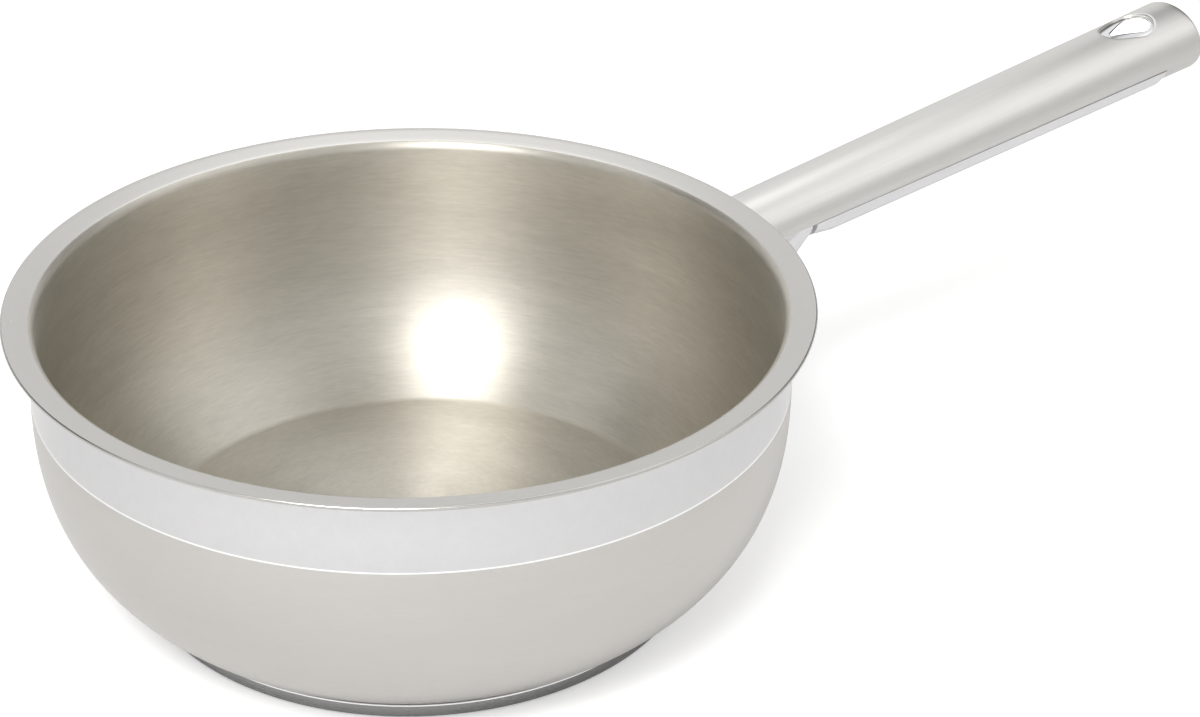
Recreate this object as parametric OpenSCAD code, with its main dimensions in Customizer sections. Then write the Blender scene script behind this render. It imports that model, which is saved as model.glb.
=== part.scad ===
// Saucier pan in stainless steel: a drawn bowl with a flared pouring rim, an encapsulated
// sandwich base, and a hollow two-shell handle on a flared bracket.
// Origin: centre of the base's underside. +X runs along the handle, +Z is up. Millimetres.

/* [Bowl] */
// Outer diameter over the flared pouring rim
rim_d = 260; // [230:1:300]
// Height from the underside of the base to the top of the rim
pan_h = 100; // [85:1:130]
// How far the rim reaches out beyond the neck under it
rim_reach = 9; // [6:0.5:16]
// How far the belly swells out beyond the neck
belly_swell = 2.3; // [0.5:0.1:12]
// Radius of the bend between the neck and the flared rim, under the rim
bend_r = 2; // [1:0.5:5]
// Upward slope of the flared rim in degrees
rim_slope = 12; // [5:1:40]
// Distance from the rim down to the widest part of the belly
belly_drop = 31; // [24:1:40]
// Fullness of the belly's curve: 2 is an ellipse, more is squarer
belly_fullness = 2.46; // [2.1:0.02:3]
// Thickness of the bowl's sheet
wall_t = 1.2; // [0.8:0.1:2]

/* [Base] */
// Distance from the side of the belly in to the top edge of the base's steel capsule
base_inset = 28.8; // [15:0.1:35]
// How far the capsule draws in on each side from its top edge to its foot
base_draft = 1; // [0.5:0.5:6]
// Thickness of the aluminium heat spreader
core_t = 3.8; // [3:0.1:9]
// Thickness of the capsule's sheet
cap_t = 0.8; // [0.5:0.1:1.2]
// Radius of the capsule's foot edge
foot_r = 1.8; // [1.2:0.1:4]
// Rise of the bowl's floor corner, from the flat floor to the capsule's top edge
corner_rise = 1; // [0.6:0.1:3]

/* [Handle] */
// Length of the handle's centreline, from the bowl's wall to the tip
handle_l = 229; // [170:1:260]
// Upward slope of the handle in degrees
handle_tilt = 7.7; // [0:0.1:15]
// Depth of the handle's centreline below the rim, where it meets the bowl
handle_drop = 15.5; // [14.5:0.1:20]
// Width of the handle at the bowl
root_w = 28; // [22:0.5:32]
// Height of the handle at the bowl
root_h = 21; // [18:0.2:24]
// Width of the handle at its tip end
tip_w = 33.4; // [28:0.2:42]
// Height of the handle at its tip end
tip_h = 26.6; // [19:0.2:28]
// Length over which the tip's end face rounds off
tip_round = 4; // [2:0.5:14]
// Sheet thickness of the handle's two shells
shell_t = 1.2; // [0.8:0.1:1.6]
// How far the seam between the two shells lies below the centreline at the bowl
seam_drop = 1; // [0.4:0.1:2]
// How far the seam lies below the centreline at the tip
seam_drop_tip = 3.6; // [0.4:0.1:5]

/* [Underplate] */
// Distance from the bowl's wall to the underplate's front end, at the handle's neck
neck_start = 35.9; // [30:0.1:44]
// Distance from the bowl's wall to the point where the underplate reaches its full depth
plate_start = 45.9; // [45:0.1:60]
// Distance from the handle's tip to the rear end of the underplate
plate_setback = 25; // [20:0.5:30]
// Slant of the underplate's rear end
plate_slant = 4; // [0:0.5:8]
// How much deeper the underplate is than the tip behind it
plate_drop = 1.8; // [0.8:0.1:2.4]
// How much the underplate draws in at the neck
neck_rise = 2.1; // [0.5:0.1:3]

/* [Bracket] */
// Sheet thickness of the bracket
bracket_t = 1.5; // [1:0.1:2]
// Length of the bracket's tongue inside the handle, behind the neck
tongue_l = 56; // [30:1:80]
// How far the bracket's underside drops between the neck and the wall
flare_drop = 28; // [16:0.5:32]
// How far each of its sides widens on the way
flare_side = 13.5; // [6:0.5:18]
// Width of the bracket's foot on the wall
foot_w = 58; // [50:1:70]
// Margin of the foot below the flare
foot_margin = 6; // [4:0.5:10]
// Diameter of the weld spots on the foot and the tongue
spot_d = 5; // [3:0.5:6]

/* [Hanging hole] */
// Distance from the tip to the hole's round end
hole_setback = 16.4; // [12:0.2:24]
// Length of the opening in the upper shell
hole_l = 22.8; // [16:0.2:28]
// Width of its round end
hole_w = 17.2; // [12:0.2:20]
// Width of its narrow end
hole_tail_w = 11.6; // [5:0.2:13]
// Length of the drop-shaped hole inside that opening
drop_l = 19.6; // [14:0.2:24]
// Width of the drop-shaped hole
drop_w = 11.2; // [8:0.2:14]
// Distance between the round ends of the opening and of the drop-shaped hole
drop_margin = 0.8; // [0.4:0.1:3]
// Sheet thickness of the sleeve that lines the hole
liner_t = 0.8; // [0.5:0.1:1.2]

/* [Hidden] */

// Fineness of turned parts, and clearances between sheets that lie on each other
turn_fn = 180;
snug = 0.05;

rim_r = rim_d / 2;
neck_r = rim_r - rim_reach;
belly_r = neck_r + belly_swell;
base_r = belly_r - base_inset;
belly_z = pan_h - belly_drop;

// Base stack: capsule, aluminium core, bowl floor
floor_z = cap_t + core_t;
edge_z = floor_z + corner_rise;
edge_r = base_r - cap_t - snug;

// End of the rim on its underside, and the bend below it
rim_end = [rim_r - wall_t / 2 * (1 - sin(rim_slope)), pan_h - wall_t / 2 * (1 + cos(rim_slope))];
bend_out = bend_r * (1 - sin(rim_slope));
bend_up = bend_r * cos(rim_slope);
neck_z = rim_end[1] - (rim_end[0] - neck_r - bend_out) * tan(rim_slope) - bend_up;

// The belly follows |r/belly_r|^n + |drop/belly_reach|^n = 1 down to the capsule's top edge
edge_share = edge_r / belly_r;
belly_reach = (belly_z - edge_z) / pow(1 - pow(edge_share, belly_fullness), 1 / belly_fullness);
edge_slope = atan(belly_reach / belly_r
    * pow(edge_share * belly_reach / (belly_z - edge_z), belly_fullness - 1));
corner_r = corner_rise / (1 - cos(edge_slope));
flat_r = edge_r - corner_r * sin(edge_slope);

// Points along each stretch of the bowl's outer profile
corner_n = 6;
belly_n = 22;
neck_n = 10;
bend_n = 10;
edge_n = 8;

// Outer radius of the bowl at a height, from the base's edge up to the rim
function bowl_r(z) =
    z <= belly_z
        ? belly_r * pow(1 - pow((belly_z - z) / belly_reach, belly_fullness), 1 / belly_fullness)
    : z <= neck_z
        ? neck_r + (belly_r - neck_r) * (1 + cos(180 * (z - belly_z) / (neck_z - belly_z))) / 2
    : z < neck_z + bend_up
        ? neck_r + bend_r * (1 - cos(asin((z - neck_z) / bend_r)))
    : neck_r + bend_out + (z - neck_z - bend_up) / tan(rim_slope);

// Outer profile of the bowl, from the edge of the flat floor to the rim
bowl_outer = concat(
    [for (i = [0 : corner_n - 1]) let (a = edge_slope * i / corner_n)
        [flat_r + corner_r * sin(a), floor_z + corner_r * (1 - cos(a))]],
    [for (i = [0 : belly_n - 1]) let (z = edge_z + (belly_z - edge_z) * sin(90 * i / belly_n))
        [bowl_r(z), z]],
    [for (i = [0 : neck_n - 1]) let (z = belly_z + (neck_z - belly_z) * i / neck_n)
        [bowl_r(z), z]],
    [for (i = [0 : bend_n]) let (a = (90 - rim_slope) * i / bend_n)
        [neck_r + bend_r * (1 - cos(a)), neck_z + bend_r * sin(a)]],
    [rim_end]
);

function unit(v) = v / norm(v);

// Offset of a profile to its left-hand side, by the direction between its neighbours
function offset_left(p, d) = [for (i = [0 : len(p) - 1])
    let (t = unit(p[min(i + 1, len(p) - 1)] - p[max(i - 1, 0)]))
        p[i] + d * [-t[1], t[0]]];

// Reverses a list
function reversed(p) = [for (i = [len(p) - 1 : -1 : 0]) p[i]];

module pan_bowl() {
    inner = offset_left(bowl_outer, wall_t);
    rim_mid = [rim_r - wall_t / 2, pan_h - wall_t / 2];
    rim_edge = [for (i = [1 : edge_n - 1]) let (a = rim_slope - 90 + 180 * i / edge_n)
        rim_mid + wall_t / 2 * [cos(a), sin(a)]];
    color("gainsboro")
        rotate_extrude($fn = turn_fn)
            polygon(concat(
                [[0, floor_z]], bowl_outer, rim_edge, reversed(inner), [[0, floor_z + wall_t]]));
}

// Foot radius of the capsule, where its side would meet the surface it stands on
foot_corner_r = base_r - base_draft;
side_angle = atan2(edge_z, base_draft);
// Length of flat that the foot's rounding takes from the corner
foot_take = foot_r * tan(side_angle / 2);

// Outer profile of the capsule, from the edge of its flat underside to its top edge
foot_n = 6;
foot_flat = foot_corner_r - foot_take;
cap_outer = concat(
    [for (i = [0 : foot_n]) let (a = side_angle * i / foot_n)
        [foot_flat + foot_r * sin(a), foot_r * (1 - cos(a))]],
    [[base_r, edge_z]]
);

// The same profile moved in by d, between two heights
function cap_inside(d, low, high) =
    [for (p = offset_left(cap_outer, d)) if (p[1] > low && p[1] < high) p];

module base_core() {
    gap = cap_t + snug;
    top_r = base_r - base_draft * corner_rise / edge_z - gap / sin(side_angle);
    color("silver")
        rotate_extrude($fn = turn_fn)
            polygon(concat(
                [[0, cap_t], [foot_flat, cap_t]], cap_inside(gap, gap + snug, floor_z),
                [[top_r, floor_z], [0, floor_z]]));
}

module base_cap() {
    lip = [edge_r + snug, edge_z];
    color("lightslategray")
        rotate_extrude($fn = turn_fn)
            polygon(concat([[0, 0]], cap_outer, [lip],
                reversed(cap_inside(cap_t, 0, edge_z - cap_t)), [[0, cap_t]]));
}

// Handle: every piece is made in the handle's own frame, x along its centreline from the wall,
// y across and z up, and then placed by at_handle()
handle_x = bowl_r(pan_h - handle_drop);
handle_z = pan_h - handle_drop;

module at_handle() {
    translate([handle_x, 0, handle_z])
        rotate([0, -handle_tilt, 0])
            children();
}

// Half width, half height and depth of the seam along the handle
function half_w(s) = (root_w + (tip_w - root_w) * max(0, s) / handle_l) / 2;
function half_h(s) = (root_h + (tip_h - root_h) * max(0, s) / handle_l) / 2;
function seam(s) = seam_drop + (seam_drop_tip - seam_drop) * s / handle_l;

// Distance along the handle at which a point of its section meets the bowl, by repeated steps
function cope(y, z, gap, s = 0, steps = 8) =
    steps == 0 ? s
    : let (x = handle_x + s * cos(handle_tilt) - z * sin(handle_tilt),
           h = handle_z + s * sin(handle_tilt) + z * cos(handle_tilt))
        cope(y, z, gap, s + (bowl_r(min(h, pan_h - wall_t)) + gap - norm([x, y])), steps - 1);

// Middle of a ring of points
function middle(ring) = [for (k = [0 : 2]) [for (p = ring) p[k]] * [for (p = ring) 1 / len(ring)]];

// Solid through a list of rings with as many points each. A fan closes its ends, or with strip,
// a row of quads between the two halves of a thin section.
module loft(rings, strip = false) {
    n = len(rings[0]);
    m = len(rings);
    last = (m - 1) * n;
    skin = [for (r = rings) for (p = r) p];
    sides = [for (j = [0 : m - 2]) for (i = [0 : n - 1])
        let (a = j * n + i, b = j * n + (i + 1) % n)
            each [[a, b, b + n], [a, b + n, a + n]]];
    fans = [for (i = [0 : n - 1]) let (k = (i + 1) % n)
        each [[m * n, k, i], [m * n + 1, last + i, last + k]]];
    strips = [for (i = [0 : n / 2 - 2]) let (o = n - 1 - i)
        each [[i, o, o - 1], [i, o - 1, i + 1],
            [last + i, last + o - 1, last + o], [last + i, last + i + 1, last + o - 1]]];
    polyhedron(
        points = strip ? skin : concat(skin, [middle(rings[0]), middle(rings[m - 1])]),
        faces = concat(sides, strip ? strips : fans), convexity = 6);
}

// Ring of the handle's full section at s, drawn in by d and shrunk by k
section_n = 48;
function section(s, d, k = 1) = [for (i = [0 : section_n - 1]) let (a = 360 * i / section_n)
    [s, (half_w(s) - d) * k * sin(a), (half_h(s) - d) * k * cos(a)]];

// Solid of the handle's full section, drawn in by d. Its root follows the bowl's wall with a gap,
// and its tip rounds off over tip_round.
tip_n = 7;
tip_fullness = 2.3;
last_turn = 0.97;
module handle_solid(d, gap = snug) {
    end = handle_l - d;
    root = [for (p = section(0, d)) [cope(p[1], p[2], gap), p[1], p[2]]];
    loft(concat([root], [for (i = [0 : tip_n])
        let (t = sin(90 * last_turn * i / tip_n),
             k = pow(1 - pow(t, tip_fullness), 1 / tip_fullness))
            section(end - tip_round * (1 - t), d, k)]));
}

// Outline, seen from the side, of the space under the seam and in front of the underplate's
// slanted rear end, drawn in by gap
plate_end = handle_l - plate_setback;
module under_seam(gap = 0) {
    rear = plate_end + plate_slant - gap;
    rotate([90, 0, 0])
        linear_extrude(tip_w * 2, center = true)
            polygon([[-root_w, -seam(-root_w) - gap], [rear, -seam(rear) - gap],
                [rear - plate_slant, -tip_h], [-root_w, -tip_h * 2]]);
}

// Extra depth of the underplate along the handle
function plate_sink(s) =
    plate_drop - neck_rise * min(1, max(0, (plate_start - s) / (plate_start - neck_start)));

// Solid of the handle's lower half with that extra depth, drawn in by d, from one station to
// the next, and open upwards by lift
half_n = 24;
module lower_block(d, stations, lift) {
    loft([for (s = stations) concat(
        [for (i = [0 : half_n]) let (a = 90 + 180 * i / half_n)
            [s, (half_w(s) - d) * sin(a), (half_h(s) - d + plate_sink(s)) * cos(a)]],
        [[s, -half_w(s) + d, lift], [s, half_w(s) - d, lift]])]);
}

// Opening in the upper shell: a large and a small circle with straight sides, grown by d
hole_r = hole_w / 2;
tail_r = hole_tail_w / 2;
hole_x = handle_l - hole_setback - hole_r;
tail_x = hole_x - (hole_l - hole_r - tail_r);
module opening_shape(d) {
    a = acos((hole_r - tail_r) / (hole_x - tail_x));
    sides = [for (c = [[hole_x, hole_r + d], [tail_x, tail_r + d]])
        [c[0] - c[1] * cos(a), c[1] * sin(a)]];
    translate([hole_x, 0])
        circle(hole_r + d, $fn = 64);
    translate([tail_x, 0])
        circle(tail_r + d, $fn = 48);
    polygon(concat(sides, [for (p = reversed(sides)) [p[0], -p[1]]]));
}

// Drop-shaped hole inside that opening, grown by d
drop_r = drop_w / 2;
drop_x = hole_x + hole_r - drop_margin - drop_r;
module drop_shape(d) {
    r = drop_r + d;
    reach = (drop_l - drop_r) * r / drop_r;
    a = acos(r / reach);
    translate([drop_x, 0]) {
        circle(r, $fn = 64);
        polygon([[-r * cos(a), r * sin(a)], [-reach, 0], [-r * cos(a), -r * sin(a)]]);
    }
}

module up_prism() {
    linear_extrude(tip_h)
        children();
}

module down_prism() {
    mirror([0, 0, 1])
        linear_extrude(tip_h)
            children();
}

module handle_shell() {
    color("lightgray")
        at_handle()
            difference() {
                handle_solid(0);
                handle_solid(shell_t, -root_w / 2);
                under_seam();
                up_prism() opening_shape(0);
                down_prism() drop_shape(liner_t + snug);
            }
}

module handle_underplate() {
    over = 1;
    rear = plate_end + plate_slant;
    color("lavender")
        at_handle()
            difference() {
                intersection() {
                    lower_block(0, [neck_start, plate_start, rear], over);
                    under_seam(snug);
                }
                lower_block(shell_t, [neck_start - over, neck_start, plate_start, rear + over], over * 2);
                down_prism() drop_shape(liner_t + snug);
                tongue_spots(spot_d / 2 + snug);
            }
}

// The bracket's trough: half a section that runs under the upper shell, set in by the sheet's
// thickness where the underplate covers it, and flared towards the wall
bracket_in = shell_t + snug;
bracket_a = 78;
flare_power = 1.12;
flare_ease = 0.25;
joggle = 1;
function flare(s) = let (g = pow(max(0, 1 - s / neck_start), flare_power))
    g * (1 - flare_ease * g) / (1 - flare_ease);

// One point of the trough at station s and angle a, drawn in by d. Only what lies under the
// seam sinks and flares.
function trough_point(s, a, d, covered) =
    let (deep = max(0, -cos(a)),
         y = half_w(s) - bracket_in - d + flare_side * flare(s) * sqrt(deep),
         sink = plate_sink(s) + flare_drop * flare(s) + (covered ? 0 : bracket_in))
        [s, y * sin(a), (half_h(s) - bracket_in - d) * cos(a) - deep * sink];

trough_n = 26;
function trough_ring(s, covered) = let (
    step = (360 - 2 * bracket_a) / trough_n,
    arc = [for (i = [0 : trough_n]) bracket_a + step * i])
        concat([for (a = arc) trough_point(s, a, 0, covered)],
            [for (a = reversed(arc)) trough_point(s, a, bracket_t, covered)]);

module bracket_trough() {
    flare_n = 9;
    wall = [for (p = trough_ring(0, false)) [cope(p[1], p[2], bracket_t / 2), p[1], p[2]]];
    outside = [for (j = [1 : flare_n]) let (u = j / flare_n)
        [for (i = [0 : len(wall) - 1])
            let (s = (neck_start - snug) * u)
                trough_ring(s, false)[i] + [wall[i][0] * (1 - u), 0, 0]]];
    inside = [for (s = [neck_start + joggle, plate_start, neck_start + tongue_l])
        trough_ring(s, true)];
    loft(concat([wall], outside, inside), strip = true);
}

// Pad of the bracket's foot, which follows the bowl's wall
foot_low = -(root_h / 2 + plate_drop - neck_rise + flare_drop + foot_margin);
foot_top = -seam_drop - 2;
module foot_pad() {
    round_r = 12;
    steps = 16;
    low = handle_z + foot_low;
    high = handle_z + foot_top;
    wall = [for (i = [0 : steps]) let (z = low + (high - low) * i / steps) [bowl_r(z) + snug, z]];
    spread = asin(foot_w / 2 / neck_r);
    intersection() {
        rotate([0, 0, -spread])
            rotate_extrude(angle = 2 * spread, $fn = turn_fn)
                polygon(concat(wall, [for (p = reversed(wall)) p + [bracket_t, 0]]));
        translate([0, 0, (low + high) / 2])
            rotate([90, 0, 90])
                linear_extrude(rim_r * 2)
                    rounded_plate(foot_w, high - low, round_r);
    }
}

module rounded_plate(w, h, r) {
    for (x = [-1, 1], y = [-1, 1])
        translate([x * (w / 2 - r), y * (h / 2 - r)])
            circle(r, $fn = 48);
    square([w - 2 * r, h], center = true);
    square([w, h - 2 * r], center = true);
}

module handle_bracket() {
    color("lavender")
        difference() {
            union() {
                at_handle() bracket_trough();
                foot_pad();
            }
            foot_spots(spot_d / 2 + snug, rim_r);
        }
}

// Places of the weld spots on the foot: height from the handle's centreline, and side
spot_inset = 6;
foot_spot_places = [
    for (side = [-1, 1]) for (k = [0.3, 0.55, 0.8]) [foot_top + (foot_low - foot_top) * k, side]
];
module foot_spots(r, reach) {
    for (p = foot_spot_places) {
        z = handle_z + p[0];
        turn = p[1] * asin((foot_w / 2 - spot_inset) / neck_r);
        rotate([0, 0, turn])
            translate([bowl_r(z) + snug * 2, 0, z])
                rotate([0, 90, 0])
                    cylinder(h = reach, r = r, $fn = 32);
    }
}

module foot_spot_welds() {
    proud = 0.3;
    color("gray")
        foot_spots(spot_d / 2, bracket_t + proud);
}

// Weld spots that hold the tongue to the underplate, seen from below
module tongue_spots(r) {
    count = 2;
    first = plate_start;
    last = neck_start + tongue_l;
    for (i = [1 : count]) {
        s = first + (last - first) * i / (count + 1);
        translate([s, 0, -half_h(s) - plate_drop - snug])
            cylinder(h = shell_t, r = r, $fn = 32);
    }
}

module tongue_spot_welds() {
    color("gray")
        at_handle()
            tongue_spots(spot_d / 2);
}

// Sleeve of the hanging hole: a flange that lies under the upper shell, and a wall that runs
// down to the underside
module hang_hole_liner() {
    flange_w = 1.5;
    top = shell_t + snug;
    color("whitesmoke")
        at_handle()
            difference() {
                union() {
                    intersection() {
                        difference() {
                            handle_solid(top);
                            handle_solid(top + liner_t);
                        }
                        up_prism() opening_shape(flange_w);
                    }
                    intersection() {
                        handle_solid(top);
                        up_prism() drop_shape(liner_t);
                    }
                    intersection() {
                        union() {
                            handle_solid(0);
                            intersection() {
                                lower_block(0, [neck_start, plate_start, plate_end + plate_slant], 0);
                                under_seam();
                            }
                        }
                        down_prism() drop_shape(liner_t);
                    }
                }
                up_prism() drop_shape(0);
                down_prism() drop_shape(0);
            }
}

// Fillet of weld metal round the upper shell where it meets the bowl
module root_weld() {
    leg = 1.6;
    dip = 0.35;
    weld_n = 36;
    probe = 0.2;
    rings = [for (i = [0 : weld_n])
        let (a = -90 + 180 * i / weld_n,
             skin = [half_w(0) * sin(a), half_h(0) * cos(a)],
             out = unit([skin[0] / pow(half_w(0), 2), skin[1] / pow(half_h(0), 2)]),
             foot = skin + snug * out,
             s = cope(foot[0], foot[1], snug),
             near = foot + probe * out,
             along = unit([cope(near[0], near[1], snug) - s, probe]),
             top = foot + leg * along[1] * out,
             top_s = cope(top[0], top[1], snug),
             hollow = foot + leg * dip * along[1] * out,
             hollow_s = s + leg * dip * (1 + along[0]))
            [[s, foot[0], foot[1]], [top_s, top[0], top[1]],
             [hollow_s, hollow[0], hollow[1]], [s + leg, foot[0], foot[1]]]];
    color("silver")
        at_handle()
            loft(rings);
}

// Weld beads along the inside of the two seams between the shells
module seam_welds() {
    bead_w = 1;
    bead_h = 1.6;
    start = neck_start + tongue_l + 2;
    end = plate_end - 2;
    color("silver")
        at_handle()
            for (side = [-1, 1])
                loft([for (s = [start, end])
                    let (y = (half_w(s) - shell_t) * sqrt(1 - pow(seam(s) / half_h(s), 2)) - snug * 2)
                        [for (p = [[0, bead_h / 2], [-bead_w * 0.3, -bead_h / 2],
                                [-bead_w, -bead_h / 4], [-bead_w, bead_h / 4]])
                            [s, side * (y + p[0]), -seam(s) + side * p[1]]]]);
}

pan_bowl();
base_core();
base_cap();
handle_shell();
handle_underplate();
handle_bracket();
hang_hole_liner();
root_weld();
seam_welds();
foot_spot_welds();
tongue_spot_welds();
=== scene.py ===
# %% [markdown]
# # A stainless saucier pan
# A saucier is a round-bellied pan with a flared rim, here with a sandwich base and a long
# hollow handle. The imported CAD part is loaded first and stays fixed: it says where every
# piece is, in metres, with the origin under the middle of the base and +X along the handle.
# Each visible sheet is then modelled again as a fine smooth mesh that stands for its CAD
# node, because polished and brushed metal shows every facet of a coarse mesh.

# %% Load the frame
import bpy
import math
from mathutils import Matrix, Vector


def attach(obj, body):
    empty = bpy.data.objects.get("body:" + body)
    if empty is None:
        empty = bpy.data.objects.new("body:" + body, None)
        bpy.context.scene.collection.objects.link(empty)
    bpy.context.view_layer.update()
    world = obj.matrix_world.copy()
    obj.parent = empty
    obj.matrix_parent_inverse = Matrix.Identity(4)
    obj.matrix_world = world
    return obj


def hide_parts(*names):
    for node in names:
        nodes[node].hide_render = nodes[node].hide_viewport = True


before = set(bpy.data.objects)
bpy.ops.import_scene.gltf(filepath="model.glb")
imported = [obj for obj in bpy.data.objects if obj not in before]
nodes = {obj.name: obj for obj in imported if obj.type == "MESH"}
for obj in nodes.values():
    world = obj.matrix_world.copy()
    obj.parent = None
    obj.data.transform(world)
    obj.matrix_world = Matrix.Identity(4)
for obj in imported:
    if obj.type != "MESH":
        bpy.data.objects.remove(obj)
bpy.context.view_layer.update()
print("nodes:", ", ".join(sorted(nodes)))

# %% [markdown]
# ## Camera
# The photograph is 1200 by 717 pixels and looks down on the pan by about 27 degrees. The
# camera's place and turn were worked out from the rim's ellipse, the belly's outline and the
# handle's direction. A 72 mm lens on a 36 mm wide sensor keeps the ellipses as round as they
# are there. Made first, the camera is at hand for every test render.

# %% Make the camera
scene = bpy.context.scene
camera_data = bpy.data.cameras.new("camera")
camera_data.lens = 72
camera_data.sensor_width = 36
camera_data.sensor_fit = "HORIZONTAL"
camera_data.clip_start = 0.05
camera = bpy.data.objects.new("camera", camera_data)
camera.location = (-0.349043, -0.592557, 0.458003)
camera.rotation_euler = [math.radians(a) for a in (60.86459, -1.02157, -34.97847)]
scene.collection.objects.link(camera)
scene.camera = camera
print("camera at", [round(c, 3) for c in camera.location])

# %% [markdown]
# ## Studio
# Shiny steel looks like what stands around it, so the room matters more than the lamps.
# Here it is a white room with a pale floor, soft lamps and a few cards, as in a real studio.
# The grey card overhead and the two dark cards behind make the inside of the bowl fall off to
# brown and grey while the outside stays light, and the pale card lights the handle's side.
# The white of the room comes from the world's own strength of 1 for rays that look at it.

# %% Light the room
world = bpy.data.worlds.new("studio")
scene.world = world
world.use_nodes = True
wn = world.node_tree.nodes
wl = world.node_tree.links
wn.clear()
path = wn.new("ShaderNodeLightPath")
seen = wn.new("ShaderNodeMath")
seen.operation = "MAXIMUM"
wl.new(path.outputs["Is Camera Ray"], seen.inputs[0])
wl.new(path.outputs["Is Glossy Ray"], seen.inputs[1])
seen_all = wn.new("ShaderNodeMath")
seen_all.operation = "MAXIMUM"
wl.new(seen.outputs[0], seen_all.inputs[0])
wl.new(path.outputs["Is Transmission Ray"], seen_all.inputs[1])
room = wn.new("ShaderNodeBackground")
room.inputs["Color"].default_value = (1, 1, 1, 1)
room.inputs["Strength"].default_value = 0.68
white = wn.new("ShaderNodeBackground")
white.inputs["Color"].default_value = (1, 1, 1, 1)
white.inputs["Strength"].default_value = 1.0
pick = wn.new("ShaderNodeMixShader")
wl.new(seen_all.outputs[0], pick.inputs["Fac"])
wl.new(room.outputs[0], pick.inputs[1])
wl.new(white.outputs[0], pick.inputs[2])
world_out = wn.new("ShaderNodeOutputWorld")
wl.new(pick.outputs[0], world_out.inputs["Surface"])
scene.view_settings.view_transform = "Standard"
print("world ready")

# %% [markdown]
# ## Lamps
# A softbox is an area lamp, and its shape shows in the steel as a soft bright patch. The key
# lamp stands to the left, where the bright spot in the bowl is reflected from. A weak lamp
# lights the inside from behind, and a third one draws the soft highlight along the handle.

# %% Place the lamps
def softbox(name, place, target, size, power):
    lamp = bpy.data.lights.new(name, "AREA")
    lamp.shape = "RECTANGLE"
    lamp.size, lamp.size_y = size
    lamp.energy = power
    ob = bpy.data.objects.new(name, lamp)
    ob.location = place
    aim = Vector(target) - Vector(place)
    ob.rotation_euler = aim.to_track_quat("-Z", "Y").to_euler()
    scene.collection.objects.link(ob)


softbox("key_softbox", (-0.64, -0.53, 1.3), (0.0, 0.0, 0.03), (0.6, 0.7), 24)
softbox("back_softbox", (0.45, 0.6, 1.25), (0.0, 0.0, 0.03), (0.6, 0.6), 1.2)
softbox("handle_softbox", (0.85, -0.4, 1.15), (0.25, 0.0, 0.1), (1.1, 0.9), 1.2)

# %% [markdown]
# ## Floor and cards
# The floor glows a little for rays that come straight from the camera, so that it stays white
# in the picture while it keeps the pan's soft shadow, and much less for mirrored rays, so that
# the belly doesn't wash out. The cards are plain sheets that only the steel sees: they can't be
# seen by the camera, as cards in a studio stand outside the picture.

# %% Lay the floor and hang the cards
def flat_card(name, size, place, tilt=(0, 0, 0)):
    x, y = size[0] / 2, size[1] / 2
    mesh = bpy.data.meshes.new(name)
    mesh.from_pydata([(-x, -y, 0), (x, -y, 0), (x, y, 0), (-x, y, 0)], [], [(0, 1, 2, 3)])
    ob = bpy.data.objects.new(name, mesh)
    ob.location = place
    ob.rotation_euler = tilt
    scene.collection.objects.link(ob)
    return ob


def plain_material(name, colour, roughness, camera_glow=0.0, mirror_glow=0.0):
    mat = bpy.data.materials.new(name)
    mat.use_nodes = True
    nt = mat.node_tree
    shader = nt.nodes["Principled BSDF"]
    shader.inputs["Base Color"].default_value = (*colour, 1)
    shader.inputs["Roughness"].default_value = roughness
    shader.inputs["Specular IOR Level"].default_value = 0.2
    if camera_glow:
        light_path = nt.nodes.new("ShaderNodeLightPath")
        mirrored = nt.nodes.new("ShaderNodeMath")
        mirrored.operation = "MULTIPLY"
        nt.links.new(light_path.outputs["Is Glossy Ray"], mirrored.inputs[0])
        mirrored.inputs[1].default_value = mirror_glow
        glow = nt.nodes.new("ShaderNodeMath")
        glow.operation = "MULTIPLY_ADD"
        nt.links.new(light_path.outputs["Is Camera Ray"], glow.inputs[0])
        glow.inputs[1].default_value = camera_glow
        nt.links.new(mirrored.outputs[0], glow.inputs[2])
        shader.inputs["Emission Color"].default_value = (1, 1, 1, 1)
        nt.links.new(glow.outputs[0], shader.inputs["Emission Strength"])
    return mat


floor = flat_card("floor", (8, 8), (0, 0, -0.0002))
floor.data.materials.append(plain_material("pale_floor", (0.84, 0.84, 0.84), 0.8, 0.38, 0.05))
ceiling = flat_card("ceiling_card", (1.7, 1.25), (-0.4, -0.22, 1.35))
ceiling.data.materials.append(plain_material("grey_card", (0.6, 0.58, 0.54), 0.9))
ceiling.visible_camera = False
side = flat_card("side_card", (1.8, 0.8), (0.95, -1.15, 0.4),
                 (math.radians(90), 0, math.radians(40)))
side.data.materials.append(plain_material("pale_card", (0.9, 0.9, 0.9), 0.9))
side.visible_camera = False
for name, size, place, turn in (("right_card", (1.4, 1.2), (1.6, 0.55, 1.2), -90),
                                ("left_card", (1.5, 1.2), (-0.75, 1.25, 1.2), 28)):
    card = flat_card(name, size, place, (math.radians(90), 0, math.radians(turn)))
    card.data.materials.append(plain_material(name + "_paint", (0.06, 0.055, 0.05), 0.9))
    card.visible_camera = False
print("floor and cards in place")

# %% [markdown]
# ## Measures
# The sheets follow the same curves as the CAD part, so its named sizes are written once
# here, in millimetres, and the helper functions repeat its formulas. The fine meshes then
# lie exactly where the CAD pieces are.

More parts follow.
